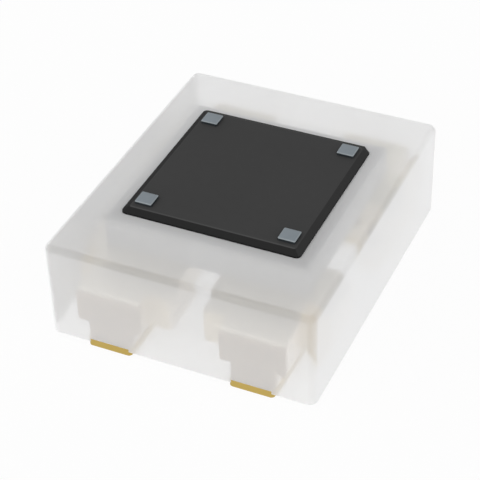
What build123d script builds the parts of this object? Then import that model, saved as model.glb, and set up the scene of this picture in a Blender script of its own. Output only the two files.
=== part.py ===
from build123d import *
import os

os.makedirs("parts", exist_ok=True)

# Surface-mount photodiode: a black chip stack cast into a clear resin block on four thick leads.
# Origin at the middle of the footprint, on the plane of the four solder faces. +X runs along the
# block's short side, +Y along its long side, +Z up through the chip. Millimetres.

# Resin block
block_width = 4.40
block_length = 5.29
block_height = 1.66
block_standoff = 0.07
block_side_edge_radius = 0.135
block_top_edge_radius = 0.105

# Chip stack: the middle lies a little off the middle of the block
chip_middle_x = -0.005
chip_middle_y = 0.04

# Chip base, a black square slab that stands on the leads under a thin skin of resin
base_side = 3.33
base_skin = 0.03

# Chip plate, which comes up through the resin and ends in a bevelled rim. Its rear right corner is
# cut off, which marks the way round; the other three are rounded.
plate_width = 2.95
plate_length = 3.01
plate_corner_radius = 0.075
plate_corner_cut = 0.13
plate_lip_height = 0.03
plate_bevel_height = 0.06
plate_bevel_inset = 0.11
plate_top_corner_radius = 0.03
plate_top_corner_cut = 0.065

# Contact pads near the corners of the chip plate
pad_width = 0.28
pad_length = 0.27
pad_thickness = 0.05
pad_spacing_x = 2.37
pad_spacing_y = 2.355

# Leads, four alike. Each is a thick paddle under the chip base with a wing towards the block's side,
# a shoulder level with it that bends down at the end of the block, and a foot below both that comes
# out of the resin at its tip and its underside.
lead_spacing = 2.37
paddle_gap_x = 0.53
paddle_gap_y = 1.73
paddle_side_cover = 0.50
paddle_end_cover = 0.43
paddle_thickness = 0.575
wing_side_cover = 0.20
wing_end_cover = 0.90
shoulder_width = 1.05
shoulder_bend_radius = 0.12
foot_width = 0.73
foot_height = 0.44
foot_gap_y = 1.45
foot_tip_thickness = 0.125
lead_end_cover = 0.06
lead_corner_radius = 0.06
paddle_corner_radius = 0.05

# Levels and distances that follow from the sizes above
block_top = block_standoff + block_height
base_top = block_top - base_skin
paddle_underside = foot_height
paddle_top = paddle_underside + paddle_thickness
paddle_inner_x = paddle_gap_x / 2
paddle_inner_y = paddle_gap_y / 2
paddle_outer_x = block_width / 2 - paddle_side_cover
paddle_outer_y = block_length / 2 - paddle_end_cover
wing_outer_x = block_width / 2 - wing_side_cover
wing_outer_y = block_length / 2 - wing_end_cover
shoulder_end_y = block_length / 2 - lead_end_cover
foot_inner_y = foot_gap_y / 2
foot_tip_y = block_length / 2
lead_middle_x = lead_spacing / 2


def upright_block(near_x, far_x, near_y, far_y, corner_radius, low, high):
    """An upright block with rounded corners in plan, between two levels."""
    with BuildPart() as block:
        with BuildSketch(Plane.XY.offset(low)):
            with Locations(((near_x + far_x) / 2, (near_y + far_y) / 2)):
                RectangleRounded(far_x - near_x, far_y - near_y, corner_radius)
        extrude(amount=high - low)
    return block.part


def plate_outline(width, length, corner_radius, corner_cut):
    """The chip plate's outline: three corners rounded and the rear right one cut off."""
    rear_right = (width / 2, length / 2, 0)
    with BuildSketch() as outline:
        Rectangle(width, length)
        fillet(outline.vertices().sort_by_distance(rear_right)[1:], corner_radius)
        chamfer(outline.vertices().sort_by_distance(rear_right)[0], corner_cut)
    return outline.sketch


# The rear right lead, in one piece
foot_near_x = lead_middle_x - foot_width / 2
foot_far_x = lead_middle_x + foot_width / 2
paddle = upright_block(
    paddle_inner_x, paddle_outer_x, paddle_inner_y, paddle_outer_y,
    paddle_corner_radius, paddle_underside, paddle_top,
)
wing = upright_block(
    paddle_inner_x, wing_outer_x, paddle_inner_y, wing_outer_y,
    paddle_corner_radius, paddle_underside, paddle_top,
)
foot = upright_block(
    foot_near_x, foot_far_x, foot_inner_y, shoulder_end_y,
    lead_corner_radius, 0, foot_height,
)
foot_tip = upright_block(
    foot_near_x, foot_far_x, foot_inner_y, foot_tip_y,
    lead_corner_radius, 0, foot_tip_thickness,
)
with BuildPart() as lead_rear_right:
    # Shoulder from the paddle to the end of the block, bent down at its end
    with BuildSketch(Plane.YZ.offset(lead_middle_x)) as shoulder_profile:
        with Locations(((paddle_inner_y + shoulder_end_y) / 2, (paddle_underside + paddle_top) / 2)):
            Rectangle(shoulder_end_y - paddle_inner_y, paddle_thickness)
        bend_corner = shoulder_profile.vertices().sort_by(Axis.Z)[2:].sort_by(Axis.Y)[-1]
        fillet(bend_corner, shoulder_bend_radius)
    extrude(amount=shoulder_width / 2, both=True)
    for lead_piece in (paddle, wing, foot, foot_tip):
        add(lead_piece)

# The other three leads mirror it
lead_rear_left = mirror(lead_rear_right.part, about=Plane.YZ)
lead_front_right = mirror(lead_rear_right.part, about=Plane.XZ)
lead_front_left = mirror(lead_rear_left, about=Plane.XZ)
leads = {
    "lead_front_left": lead_front_left,
    "lead_front_right": lead_front_right,
    "lead_rear_left": lead_rear_left,
    "lead_rear_right": lead_rear_right.part,
}

# Chip base on top of the four paddles
with BuildPart() as chip_base:
    with BuildSketch(Plane.XY.offset(paddle_top)):
        with Locations((chip_middle_x, chip_middle_y)):
            Rectangle(base_side, base_side)
    extrude(amount=base_top - paddle_top)

# Chip plate: straight through the skin of resin and past it by the lip, then the bevelled rim
lip_top = block_top + plate_lip_height
plate_top = lip_top + plate_bevel_height
top_width = plate_width - 2 * plate_bevel_inset
top_length = plate_length - 2 * plate_bevel_inset
foot_outline = plate_outline(plate_width, plate_length, plate_corner_radius, plate_corner_cut)
rim_outline = plate_outline(top_width, top_length, plate_top_corner_radius, plate_top_corner_cut)
with BuildPart() as chip_plate:
    with BuildSketch(Plane.XY.offset(base_top)):
        with Locations((chip_middle_x, chip_middle_y)):
            add(foot_outline)
    extrude(amount=lip_top - base_top)
    with BuildSketch(Plane.XY.offset(lip_top)):
        with Locations((chip_middle_x, chip_middle_y)):
            add(foot_outline)
    with BuildSketch(Plane.XY.offset(plate_top)):
        with Locations((chip_middle_x, chip_middle_y)):
            add(rim_outline)
    loft(ruled=True)

# Four contact pads, one piece each
pads = []
with GridLocations(pad_spacing_x, pad_spacing_y, 2, 2) as pad_grid:
    pad_places = pad_grid.local_locations
for place in pad_places:
    pad_x = chip_middle_x + place.position.X
    pad_y = chip_middle_y + place.position.Y
    with BuildPart() as pad:
        with BuildSketch(Plane.XY.offset(plate_top)):
            with Locations((pad_x, pad_y)):
                Rectangle(pad_width, pad_length)
        extrude(amount=pad_thickness)
    end_word = "front" if place.position.Y < 0 else "rear"
    side_word = "left" if place.position.X < 0 else "right"
    pad.part.label = f"pad_{end_word}_{side_word}"
    pads.append(pad.part)

# Resin block, cast around the leads, the chip base and the foot of the chip plate
with BuildPart() as resin_block:
    with BuildSketch(Plane.XY.offset(block_standoff)):
        Rectangle(block_width, block_length)
    extrude(amount=block_height)
    fillet(resin_block.edges().filter_by(Axis.Z), block_side_edge_radius)
    fillet(resin_block.faces().sort_by(Axis.Z)[-1].outer_wire().edges(), block_top_edge_radius)
    for embedded in leads.values():
        add(embedded, mode=Mode.SUBTRACT)
    add(chip_base.part, mode=Mode.SUBTRACT)
    add(chip_plate.part, mode=Mode.SUBTRACT)

resin_block.part.label = "resin_block"
chip_base.part.label = "chip_base"
chip_plate.part.label = "chip_plate"

export_step(resin_block.part, "parts/resin_block.step")
export_step(chip_base.part, "parts/chip_base.step")
export_step(chip_plate.part, "parts/chip_plate.step")
for lead_name, lead_part in leads.items():
    lead_part.label = lead_name
    export_step(lead_part, f"parts/{lead_name}.step")
for pad_part in pads:
    export_step(pad_part, f"parts/{pad_part.label}.step")
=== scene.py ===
import bpy
import bmesh
import math
from mathutils import Matrix, Vector


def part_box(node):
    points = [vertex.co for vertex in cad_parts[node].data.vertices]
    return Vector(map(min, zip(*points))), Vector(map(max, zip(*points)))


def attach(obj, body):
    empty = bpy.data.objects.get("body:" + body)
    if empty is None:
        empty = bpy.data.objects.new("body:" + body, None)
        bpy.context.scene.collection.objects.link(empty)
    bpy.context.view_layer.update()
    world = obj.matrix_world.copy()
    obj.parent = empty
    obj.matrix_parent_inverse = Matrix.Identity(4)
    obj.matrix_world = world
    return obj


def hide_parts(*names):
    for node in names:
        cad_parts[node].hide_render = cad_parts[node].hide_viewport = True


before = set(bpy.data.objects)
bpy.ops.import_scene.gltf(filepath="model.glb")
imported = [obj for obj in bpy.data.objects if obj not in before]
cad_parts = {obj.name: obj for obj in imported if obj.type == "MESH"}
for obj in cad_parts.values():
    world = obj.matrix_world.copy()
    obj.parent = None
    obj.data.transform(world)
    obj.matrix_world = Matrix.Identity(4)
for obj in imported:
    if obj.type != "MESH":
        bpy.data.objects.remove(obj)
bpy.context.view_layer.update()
scene = bpy.context.scene
millimetre = 0.001

# Where a pad or a lead is, in the words of its node's name
quarters = ("front_left", "front_right", "rear_left", "rear_right")

# Camera: the photograph's viewing angle. Its distance is given in units of fit_unit from fit_origin
photo_pixels = 480
focal_length_pixels = 1595.4379
camera_azimuth, camera_elevation, camera_roll = 25.5611, 38.2395, 1.9164
fit_unit = 4.35 * millimetre
fit_origin = Vector((0.0265, -0.0495, 0.07)) * millimetre
camera_offset = Vector((0.0412, 0.1001, 5.9367)) * fit_unit

azimuth, elevation, roll = (math.radians(a) for a in (camera_azimuth, camera_elevation, camera_roll))
backward = Vector((
    math.sin(azimuth) * math.cos(elevation),
    -math.cos(azimuth) * math.cos(elevation),
    math.sin(elevation),
))
level_right = (-backward).cross(Vector((0, 0, 1))).normalized()
level_down = (-backward).cross(level_right)
camera_right = level_right * math.cos(roll) + level_down * math.sin(roll)
camera_down = -level_right * math.sin(roll) + level_down * math.cos(roll)
turn = Matrix((camera_right, camera_down, -backward))
placing = Matrix((camera_right, -camera_down, backward)).transposed().to_4x4()
placing.translation = fit_origin - turn.transposed() @ camera_offset

camera_data = bpy.data.cameras.new("camera")
camera_data.sensor_width = 36
camera_data.lens = focal_length_pixels / photo_pixels * camera_data.sensor_width
camera_data.clip_start = 0.001
camera_data.clip_end = 10
camera = bpy.data.objects.new("camera", camera_data)
camera.matrix_world = placing
scene.collection.objects.link(camera)
scene.camera = camera
scene.view_settings.view_transform = "Standard"

# Node helpers. A source is another node's output or a plain value. The numbers are the positions of a Mix
# node's sockets: factor, first, second and result
mix_sockets = {"FLOAT": (0, 2, 3, 0), "RGBA": (0, 6, 7, 2)}


def grey(level):
    return (level, level, level, 1.0)


def new_material(name):
    """A material, its node tree and its Principled shader."""
    material = bpy.data.materials.new(name)
    material.use_nodes = True
    return material, material.node_tree, material.node_tree.nodes["Principled BSDF"]


def feed(tree, target, source):
    """Links an output to an input, or sets the input to a plain value."""
    if isinstance(source, bpy.types.NodeSocket):
        tree.links.new(source, target)
    else:
        target.default_value = source


def calculate(tree, operation, *sources, kind="ShaderNodeMath"):
    """The result of a Math node, or of a Vector Math node where kind says so."""
    node = tree.nodes.new(kind)
    node.operation = operation
    for target, source in zip(node.inputs, sources):
        feed(tree, target, source)
    return node.outputs[0]


def mix(tree, data_type, factor, first, second, blend_type="MIX"):
    """The result of a Mix node: first where the factor is 0, second where it is 1."""
    node = tree.nodes.new("ShaderNodeMix")
    node.data_type = data_type
    node.blend_type = blend_type
    *inputs, output = mix_sockets[data_type]
    for place, source in zip(inputs, (factor, first, second)):
        feed(tree, node.inputs[place], source)
    return node.outputs[output]


def map_range(tree, source, low, high, interpolation_type="LINEAR"):
    """0 where the source is at or below low, 1 where it is at or above high."""
    node = tree.nodes.new("ShaderNodeMapRange")
    node.interpolation_type = interpolation_type
    for name, value in {"Value": source, "From Min": low, "From Max": high}.items():
        feed(tree, node.inputs[name], value)
    return node.outputs[0]


def coordinates(tree, kind):
    """The X, Y and Z outputs of a Texture Coordinate, such as Object or Normal."""
    place = tree.nodes.new("ShaderNodeTexCoord")
    parts = tree.nodes.new("ShaderNodeSeparateXYZ")
    tree.links.new(place.outputs[kind], parts.inputs[0])
    return parts.outputs


def add_noise(tree, place, scale, detail, roughness):
    node = tree.nodes.new("ShaderNodeTexNoise")
    sources = {"Vector": place, "Scale": scale, "Detail": detail, "Roughness": roughness}
    for name, source in sources.items():
        feed(tree, node.inputs[name], source)
    return node.outputs["Fac"]


def add_group(tree, group, values):
    """The outputs of a node group that is placed in a tree with these values on its inputs."""
    node = tree.nodes.new("ShaderNodeGroup")
    node.node_tree = group
    for name, value in values.items():
        node.inputs[name].default_value = value
    return node.outputs


def show_mix(tree, output_name, share, first, second):
    """Shows a mix of two shaders, with this share of the second."""
    both = tree.nodes.new("ShaderNodeMixShader")
    for target, source in zip(both.inputs, (share, first.outputs[0], second.outputs[0])):
        feed(tree, target, source)
    tree.links.new(both.outputs[0], tree.nodes[output_name].inputs["Surface"])


# Shared effect: fine grain, soft blotches and a height for a bump, all on object coordinates
def make_grain_group():
    tree = bpy.data.node_groups.new("fine_grain", "ShaderNodeTree")
    inputs = (
        ("Grain Scale", "NodeSocketFloat", 4000.0),
        ("Blotch Scale", "NodeSocketFloat", 400.0),
        ("Roughness", "NodeSocketFloat", 0.4),
        ("Roughness Spread", "NodeSocketFloat", 0.1),
        ("Dark", "NodeSocketColor", grey(0.1)),
        ("Light", "NodeSocketColor", grey(0.2)),
    )
    outputs = (
        ("Color", "NodeSocketColor"),
        ("Roughness", "NodeSocketFloat"),
        ("Height", "NodeSocketFloat"),
    )
    for name, kind, value in inputs:
        tree.interface.new_socket(name, in_out="INPUT", socket_type=kind).default_value = value
    for name, kind in outputs:
        tree.interface.new_socket(name, in_out="OUTPUT", socket_type=kind)
    given = tree.nodes.new("NodeGroupInput").outputs
    result = tree.nodes.new("NodeGroupOutput").inputs
    place = tree.nodes.new("ShaderNodeTexCoord").outputs["Object"]
    grain = add_noise(tree, place, given["Grain Scale"], detail=3.0, roughness=0.6)
    blotch = add_noise(tree, place, given["Blotch Scale"], detail=2.0, roughness=0.5)
    both = calculate(tree, "MULTIPLY_ADD", grain, 0.5, calculate(tree, "MULTIPLY", blotch, 0.5))
    centred = calculate(tree, "SUBTRACT", both, 0.5)
    roughness = calculate(
        tree, "MULTIPLY_ADD", centred, given["Roughness Spread"], given["Roughness"]
    )
    feed(tree, result["Color"], mix(tree, "RGBA", both, given["Dark"], given["Light"]))
    feed(tree, result["Roughness"], roughness)
    feed(tree, result["Height"], grain)
    return tree


fine_grain = make_grain_group()
bump_distance = 0.002 * millimetre
resin_grain = {"Roughness": 0.32, "Roughness Spread": 0.1, "Grain Scale": 5000.0, "Blotch Scale": 500.0}
haze_grain = {**resin_grain, "Roughness": 0.5}
black_grain = {"Roughness": 0.6, "Roughness Spread": 0.1, "Grain Scale": 6000.0, "Blotch Scale": 700.0}
pad_grain = {"Roughness": 0.55, "Roughness Spread": 0.15, "Grain Scale": 9000.0, "Blotch Scale": 1500.0}
plating_grain = {"Roughness": 0.5, "Roughness Spread": 0.1, "Grain Scale": 7000.0, "Blotch Scale": 900.0}


def add_grain(tree, shader, grain, dark, light, bump=0.0):
    """Puts a grain into a shader's colour and roughness, and into its normal where there is a bump.

    Returns the grain's colour, for a material that changes it further on.
    """
    made = add_group(tree, fine_grain, {**grain, "Dark": dark, "Light": light})
    feed(tree, shader.inputs["Base Color"], made["Color"])
    feed(tree, shader.inputs["Roughness"], made["Roughness"])
    if bump:
        raised = tree.nodes.new("ShaderNodeBump")
        raised.inputs["Strength"].default_value = bump
        raised.inputs["Distance"].default_value = bump_distance
        feed(tree, raised.inputs["Height"], made["Height"])
        feed(tree, shader.inputs["Normal"], raised.outputs["Normal"])
    return made["Color"]


# The chip base's middle and half its side, which the looks of the base and the resin are built round
base_low, base_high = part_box("chip_base")
base_middle = (base_low + base_high) / 2
base_half = (base_high.x - base_low.x) / 2


# Shared effect: 0 up to Near from the chip base's middle and 1 from Far on, with a smooth rise between
# them, by the larger of the distances along X and Y
def make_rim_group():
    tree = bpy.data.node_groups.new("chip_rim_mask", "ShaderNodeTree")
    for name in ("Near", "Far"):
        tree.interface.new_socket(name, in_out="INPUT", socket_type="NodeSocketFloat")
    tree.interface.new_socket("Mask", in_out="OUTPUT", socket_type="NodeSocketFloat")
    given = tree.nodes.new("NodeGroupInput").outputs
    result = tree.nodes.new("NodeGroupOutput").inputs
    place = tree.nodes.new("ShaderNodeTexCoord").outputs["Object"]
    centred = calculate(tree, "SUBTRACT", place, base_middle, kind="ShaderNodeVectorMath")
    parts = tree.nodes.new("ShaderNodeSeparateXYZ")
    feed(tree, parts.inputs[0], calculate(tree, "ABSOLUTE", centred, kind="ShaderNodeVectorMath"))
    distance = calculate(tree, "MAXIMUM", parts.outputs["X"], parts.outputs["Y"])
    feed(tree, result["Mask"], map_range(tree, distance, given["Near"], given["Far"], "SMOOTHSTEP"))
    return tree


chip_rim_mask = make_rim_group()

# A surface counts as facing along an axis where its normal has more than this part along it
facing_part = 0.5

# Resin: clear but slightly milky. Each surface lets some light through and spreads the rest as haze.
# Seen from outside, the share of haze rises with the surface's tilt, which is 0 where it is seen square
# on and 1 where it is seen edge on. Seen from inside, the left wall has more haze than the others, and
# its haze colour is darker, a painted shade. Over the black chip and a little way round it the haze
# colour is darkened by a painted shade
resin_index = 1.15
haze_share_by_tilt = (
    (0.0, 0.37), (0.20, 0.37), (0.235, 0.45), (0.29, 0.51), (0.38, 0.55), (0.66, 0.85), (1.0, 1.0),
)
inner_haze_share = 0.5
left_wall_haze_share = 0.82
left_wall_shaded_haze = grey(0.77)
haze_dark, haze_light = (0.954, 0.955, 0.957, 1), (0.983, 0.984, 0.987, 1)
chip_shade = grey(0.94)
chip_shade_reach = 0.20 * millimetre


def make_resin():
    material, tree, glass = new_material("milky_resin")
    glass.inputs["Transmission Weight"].default_value = 1.0
    glass.inputs["IOR"].default_value = resin_index
    add_grain(tree, glass, resin_grain, dark=grey(0.985), light=grey(1.0))
    haze = tree.nodes.new("ShaderNodeBsdfPrincipled")
    haze.inputs["Specular IOR Level"].default_value = 0.0
    haze.inputs["Diffuse Roughness"].default_value = 0.5
    milk = add_grain(tree, haze, haze_grain, haze_dark, haze_light)

    # Share of haze seen from outside
    tilt = tree.nodes.new("ShaderNodeLayerWeight")
    tilt.inputs["Blend"].default_value = 0.5
    outer_share = tree.nodes.new("ShaderNodeValToRGB")
    stops = outer_share.color_ramp.elements
    stops[0].color = grey(haze_share_by_tilt[0][1])
    stops[1].color = grey(haze_share_by_tilt[-1][1])
    for amount, share in haze_share_by_tilt[1:-1]:
        stops.new(amount).color = grey(share)
    feed(tree, outer_share.inputs[0], tilt.outputs["Facing"])

    # Share and colour of haze seen from inside, where the left wall's normal points right. The left
    # wall's darker haze colour is a painted shade
    inside = tree.nodes.new("ShaderNodeNewGeometry").outputs["Backfacing"]
    points_right = calculate(tree, "GREATER_THAN", coordinates(tree, "Normal")["X"], facing_part)
    left_wall = calculate(tree, "MULTIPLY", points_right, inside)
    inner_share = mix(tree, "FLOAT", points_right, inner_haze_share, left_wall_haze_share)
    haze_share = mix(tree, "FLOAT", inside, outer_share.outputs[0], inner_share)
    haze_colour = mix(tree, "RGBA", left_wall, milk, left_wall_shaded_haze)

    # Painted shade over and round the chip: the haze colour is darkened there
    shade_values = {"Near": base_half, "Far": base_half + chip_shade_reach}
    off_chip = add_group(tree, chip_rim_mask, shade_values)["Mask"]
    shade = mix(tree, "RGBA", off_chip, chip_shade, grey(1.0))
    shaded = mix(tree, "RGBA", 1.0, haze_colour, shade, blend_type="MULTIPLY")
    feed(tree, haze.inputs["Base Color"], shaded)
    show_mix(tree, "Material Output", haze_share, glass, haze)
    return material


# Chip plate: one dull black in lit and shaded copies: the top, a painted highlight on the rim, painted
# shade on the bevel with less of it on the right side, and darker painted shade on the lip
def make_dull_black(name, dark, light):
    material, tree, shader = new_material(name)
    add_grain(tree, shader, black_grain, grey(dark), grey(light), bump=0.1)
    shader.inputs["Specular IOR Level"].default_value = 0.05
    return material


# Chip base: black on top and greyer towards its rim, so that the dark round the plate fades out as a
# painted shade; its sawn sides grey
base_dark, base_light = grey(0.02), grey(0.03)
base_rim = grey(0.27)
base_side = grey(0.40)
base_shade_fade_width = 0.13 * millimetre


def make_base_black():
    material, tree, shader = new_material("sawn_black")
    black = add_grain(tree, shader, black_grain, base_dark, base_light)
    # Painted shade: black near the plate, fading to the rim's grey
    rim_values = {"Near": base_half - base_shade_fade_width, "Far": base_half}
    shade_fade_to_rim = add_group(tree, chip_rim_mask, rim_values)["Mask"]
    top_colour = mix(tree, "RGBA", shade_fade_to_rim, black, base_rim)
    top = calculate(tree, "GREATER_THAN", coordinates(tree, "Normal")["Z"], facing_part)
    feed(tree, shader.inputs["Base Color"], mix(tree, "RGBA", top, base_side, top_colour))
    return material


# Contact pads: blue-grey metal film, with a painted highlight along its top edge and painted shade on
# its sides
def make_pad_metal(name, dark, light):
    material, tree, shader = new_material(name)
    add_grain(tree, shader, pad_grain, dark, light)
    shader.inputs["Metallic"].default_value = 0.3
    return material


# Leads: gold plating where they come out of the resin and a paler silvery plating inside it. Inside,
# the colours paint light and shade: the tops are painted lighter as if lit from above, the upright faces
# that look along Y darker, the flanks lighter, and the shoulders' ends past the bend darker in painted
# shade. The flanks and tops of the rear leads are darker
gold_dark, gold_light = (0.48, 0.345, 0.09, 1), (0.61, 0.45, 0.14, 1)
gold_height = 0.1249 * millimetre
silvery_share = 0.9
shoulder_bend = 2.44 * millimetre
shoulder_end = 2.54 * millimetre
lead_end_shaded = (0.52, 0.445, 0.37, 1)
lead_upright_shaded = (0.76, 0.69, 0.565, 1)
lead_front_flank_lit = (0.96, 0.92, 0.87, 1)
lead_rear_flank = (0.72, 0.67, 0.58, 1)
lead_front_top_lit = (0.835, 0.79, 0.705, 1)
lead_rear_top = (0.61, 0.57, 0.45, 1)


def make_lead_plating():
    material, tree, shader = new_material("lead_plating")
    shader.inputs["Metallic"].default_value = 1.0
    gold = add_grain(tree, shader, plating_grain, gold_dark, gold_light, bump=0.1)
    place = coordinates(tree, "Object")
    normal = coordinates(tree, "Normal")
    rear = calculate(tree, "GREATER_THAN", place["Y"], 0.0)
    top_colour = mix(tree, "RGBA", rear, lead_front_top_lit, lead_rear_top)
    flank_colour = mix(tree, "RGBA", rear, lead_front_flank_lit, lead_rear_flank)
    sideways = calculate(tree, "ABSOLUTE", normal["X"])
    flank = calculate(tree, "GREATER_THAN", sideways, facing_part)
    upright_colour = mix(tree, "RGBA", flank, lead_upright_shaded, flank_colour)
    ending = map_range(tree, calculate(tree, "ABSOLUTE", place["Y"]), shoulder_bend, shoulder_end)
    side_colour = mix(tree, "RGBA", ending, upright_colour, lead_end_shaded)
    # Painted light: faces that look up take the lighter top colours
    upward = map_range(tree, normal["Z"], facing_part, 1.0, "SMOOTHSTEP")
    inner_light_and_shade = mix(tree, "RGBA", upward, side_colour, top_colour)
    silvery = mix(tree, "RGBA", silvery_share, gold, inner_light_and_shade)
    raised = calculate(tree, "GREATER_THAN", place["Z"], gold_height)
    feed(tree, shader.inputs["Base Color"], mix(tree, "RGBA", raised, gold, silvery))
    return material


resin = make_resin()
plate_top_black = make_dull_black("dull_black", 0.049, 0.059)
plate_rim_highlight_black = make_dull_black("rim_painted_highlight_black", 0.066, 0.078)
plate_bevel_shade_black = make_dull_black("bevel_painted_shade", 0.020, 0.025)
plate_right_bevel_shade_black = make_dull_black("bevel_right_painted_shade", 0.032, 0.038)
plate_lip_shade_black = make_dull_black("lip_black", 0.012, 0.016)
base_black = make_base_black()
pad_film = make_pad_metal("pad_film", (0.207, 0.244, 0.272, 1), (0.285, 0.320, 0.350, 1))
pad_edge_painted_highlight = make_pad_metal("pad_edge_painted_highlight", (0.28, 0.32, 0.34, 1), (0.37, 0.41, 0.43, 1))
pad_side_painted_shade = make_pad_metal("pad_side_painted_shade", (0.020, 0.026, 0.030, 1), (0.028, 0.034, 0.040, 1))
lead_plating = make_lead_plating()


# Shape helpers
def set_material(node_name, material):
    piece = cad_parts[node_name]
    piece.data.materials.clear()
    piece.data.materials.append(material)


def finish_piece(builder, name, materials, nodes, smooth_angle):
    """Makes the object of a finished bmesh, with its materials, and hides the CAD nodes it takes the
    place of.

    Edges that turn by more than the smooth angle, in degrees, stay sharp.
    """
    bmesh.ops.remove_doubles(builder, verts=builder.verts, dist=1e-9)
    bmesh.ops.recalc_face_normals(builder, faces=builder.faces)
    for face in builder.faces:
        face.smooth = True
    for edge in builder.edges:
        if len(edge.link_faces) == 2 and edge.calc_face_angle() > math.radians(smooth_angle):
            edge.smooth = False
    mesh = bpy.data.meshes.new(name)
    builder.to_mesh(mesh)
    builder.free()
    for material in materials:
        mesh.materials.append(material)
    piece = bpy.data.objects.new(name, mesh)
    scene.collection.objects.link(piece)
    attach(piece, "root")
    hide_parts(*nodes)


def block_between(low, high):
    """A bmesh cuboid between two corners."""
    builder = bmesh.new()
    made = bmesh.ops.create_cube(builder, size=1.0)
    bmesh.ops.scale(builder, vec=high - low, verts=made["verts"])
    bmesh.ops.translate(builder, vec=(low + high) / 2, verts=made["verts"])
    return builder


def upright_edges(builder):
    return [e for e in builder.edges if abs((e.verts[0].co - e.verts[1].co).normalized().z) > 0.99]


def top_edges(builder):
    """The edges round the highest face."""
    return list(max(builder.faces, key=lambda face: face.calc_center_median().z).edges)


def round_edges(builder, edges, radius, segments):
    bmesh.ops.bevel(
        builder, geom=edges, offset=radius, offset_type="OFFSET", segments=segments, profile=0.5,
        affect="EDGES", clamp_overlap=True, material=-1,
    )
    builder.normal_update()


def cut_corners(builder, corners, size, segments):
    """Cuts corners of a flat outline off with one segment, or rounds them with more."""
    bmesh.ops.bevel(
        builder, geom=corners, offset=size, offset_type="OFFSET", segments=segments, profile=0.5,
        affect="VERTICES", material=-1,
    )


def plate_outline(builder, middle, size, corners, level):
    """A flat rectangle with three rounded corners and the rear right one cut off; returns its face.

    The corners are given as the radius of the three and the cut of the fourth.
    """
    corner_radius, corner_cut = corners
    made = bmesh.ops.create_grid(builder, x_segments=1, y_segments=1, size=0.5)
    bmesh.ops.scale(builder, vec=(size.x, size.y, 1), verts=made["verts"])
    bmesh.ops.translate(builder, vec=(middle.x, middle.y, level), verts=made["verts"])
    before = set(builder.faces) - set(made["verts"][0].link_faces)
    rear_right = max(made["verts"], key=lambda vertex: vertex.co.x + vertex.co.y)
    others = [vertex for vertex in made["verts"] if vertex is not rear_right]
    cut_corners(builder, others, corner_radius, segments=6)
    cut_corners(builder, [rear_right], corner_cut, segments=1)
    return (set(builder.faces) - before).pop()


# Resin block; its end faces stand back by a hair from the tips of the feet
end_face_setback = 0.004 * millimetre
side_edge_radius = 0.135 * millimetre
top_edge_radius = 0.105 * millimetre
block_low, block_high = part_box("resin_block")
setback = Vector((0, end_face_setback, 0))
builder = block_between(block_low + setback, block_high - setback)
round_edges(builder, upright_edges(builder), side_edge_radius, segments=8)
round_edges(builder, top_edges(builder), top_edge_radius, segments=6)
finish_piece(builder, "resin_body", [resin], ["resin_block"], smooth_angle=60.0)

# Chip plate: straight foot, bevel that draws in to sharper corners, and a soft rim round the top. The
# corners are the radius of the three round ones and the cut of the rear right one
plate_corners = (0.075 * millimetre, 0.13 * millimetre)
top_corners = (0.03 * millimetre, 0.065 * millimetre)
bevel_height = 0.06 * millimetre
bevel_inset = 0.11 * millimetre
rim_radius = 0.012 * millimetre
plate_low, plate_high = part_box("chip_plate")
plate_size = plate_high - plate_low
plate_middle = (plate_low + plate_high) / 2
top_size = plate_size - 2 * bevel_inset * Vector((1, 1, 0))
lip_level = plate_high.z - bevel_height
builder = bmesh.new()
foot_outline = plate_outline(builder, plate_middle, plate_size, plate_corners, plate_low.z)
lip_outline = plate_outline(builder, plate_middle, plate_size, plate_corners, lip_level)
top_outline = plate_outline(builder, plate_middle, top_size, top_corners, plate_high.z)
bmesh.ops.bridge_loops(builder, edges=list(foot_outline.edges) + list(lip_outline.edges))
bmesh.ops.bridge_loops(builder, edges=list(lip_outline.edges) + list(top_outline.edges))
bmesh.ops.delete(builder, geom=[lip_outline], context="FACES_ONLY")
round_edges(builder, list(top_outline.edges), rim_radius, segments=3)

# Its blacks, told apart by a face's middle height: the top and the left and right rim; the front and rear
# rim with a painted highlight; the bevel in painted shade, with less of it on the right; and the lip with
# the foot in darker painted shade
top_margin = 0.0002 * millimetre
rim_depth = 0.010 * millimetre
lip_margin = 0.001 * millimetre
right_bevel_facing = 0.3
plate_blacks = [plate_top_black, plate_rim_highlight_black, plate_bevel_shade_black, plate_lip_shade_black, plate_right_bevel_shade_black]
for face in builder.faces:
    height = face.calc_center_median().z
    if height > plate_high.z - top_margin:
        black = plate_top_black
    elif height > plate_high.z - rim_depth:
        black = plate_rim_highlight_black if abs(face.normal.y) > abs(face.normal.x) else plate_top_black
    elif height > lip_level + lip_margin:
        black = plate_right_bevel_shade_black if face.normal.x > right_bevel_facing else plate_bevel_shade_black
    else:
        black = plate_lip_shade_black
    face.material_index = plate_blacks.index(black)
finish_piece(builder, "bevelled_plate", plate_blacks, ["chip_plate"], smooth_angle=20.0)

# Contact pads with a soft top edge
pad_corner_radius = 0.015 * millimetre
pad_edge_radius = 0.012 * millimetre
pad_metals = [pad_film, pad_edge_painted_highlight, pad_side_painted_shade]
for quarter in quarters:
    node_name = f"pad_{quarter}"
    pad_low, pad_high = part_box(node_name)
    builder = block_between(pad_low, pad_high)
    round_edges(builder, upright_edges(builder), pad_corner_radius, segments=3)
    round_edges(builder, top_edges(builder), pad_edge_radius, segments=2)
    # The top edge's faces get a painted highlight and the sides a painted shade
    for face in builder.faces:
        height = face.calc_center_median().z
        if height > pad_high.z - top_margin:
            metal = pad_film
        elif height > pad_high.z - pad_edge_radius:
            metal = pad_edge_painted_highlight
        else:
            metal = pad_side_painted_shade
        face.material_index = pad_metals.index(metal)
    finish_piece(builder, f"contact_{quarter}", pad_metals, [node_name], smooth_angle=60.0)

set_material("chip_base", base_black)
for quarter in quarters:
    set_material(f"lead_{quarter}", lead_plating)

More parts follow.
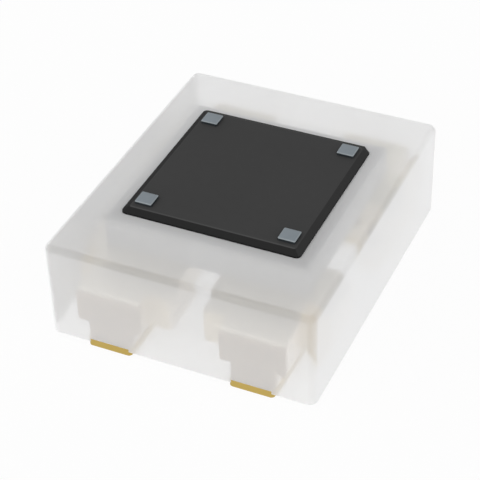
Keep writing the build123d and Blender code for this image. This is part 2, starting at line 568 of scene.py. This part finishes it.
# Floor: pale, and it keeps a soft shadow. To the camera this share of it is plain white, to other rays
# the lower share, and in mirrors and through the resin all of it
floor_white_to_camera = 0.93
floor_white_to_others = 0.6
floor_material, floor_tree, floor_shader = new_material("pale_floor")
floor_shader.inputs["Base Color"].default_value = grey(0.93)
floor_shader.inputs["Roughness"].default_value = 0.9
floor_shader.inputs["Specular IOR Level"].default_value = 0.0
glow = floor_tree.nodes.new("ShaderNodeEmission")
glow.inputs["Color"].default_value = grey(1.0)
glow.inputs["Strength"].default_value = 1.0
ray = floor_tree.nodes.new("ShaderNodeLightPath").outputs
camera_extra = floor_white_to_camera - floor_white_to_others
plain_share = calculate(
    floor_tree, "MULTIPLY_ADD", ray["Is Camera Ray"], camera_extra, floor_white_to_others
)
indirect = calculate(floor_tree, "MAXIMUM", ray["Is Glossy Ray"], ray["Is Transmission Ray"])
white_share = calculate(floor_tree, "MAXIMUM", plain_share, indirect)
show_mix(floor_tree, "Material Output", white_share, floor_shader, glow)

floor_builder = bmesh.new()
bmesh.ops.create_grid(floor_builder, x_segments=1, y_segments=1, size=0.5)
floor_mesh = bpy.data.meshes.new("floor")
floor_builder.to_mesh(floor_mesh)
floor_builder.free()
floor_mesh.materials.append(floor_material)
floor = bpy.data.objects.new("floor", floor_mesh)
scene.collection.objects.link(floor)

# World: a white studio. Its light is a little stronger from the front and the left, and the camera and
# what is seen through the resin get plain white
light_all_round = 0.84
light_from_front = 0.32
light_from_left = 0.03
world = bpy.data.worlds.new("studio")
world.use_nodes = True
scene.world = world
studio = world.node_tree
lit = studio.nodes["Background"]
lit.inputs["Color"].default_value = grey(1.0)
direction = coordinates(studio, "Generated")
across = calculate(studio, "MULTIPLY_ADD", direction["X"], -light_from_left, light_all_round)
strength = calculate(studio, "MULTIPLY_ADD", direction["Y"], -light_from_front, across)
feed(studio, lit.inputs["Strength"], strength)
white = studio.nodes.new("ShaderNodeBackground")
white.inputs["Color"].default_value = grey(1.0)
white.inputs["Strength"].default_value = 1.0
ray = studio.nodes.new("ShaderNodeLightPath").outputs
seen = calculate(studio, "MAXIMUM", ray["Is Camera Ray"], ray["Is Transmission Ray"])
show_mix(studio, "World Output", seen, lit, white)
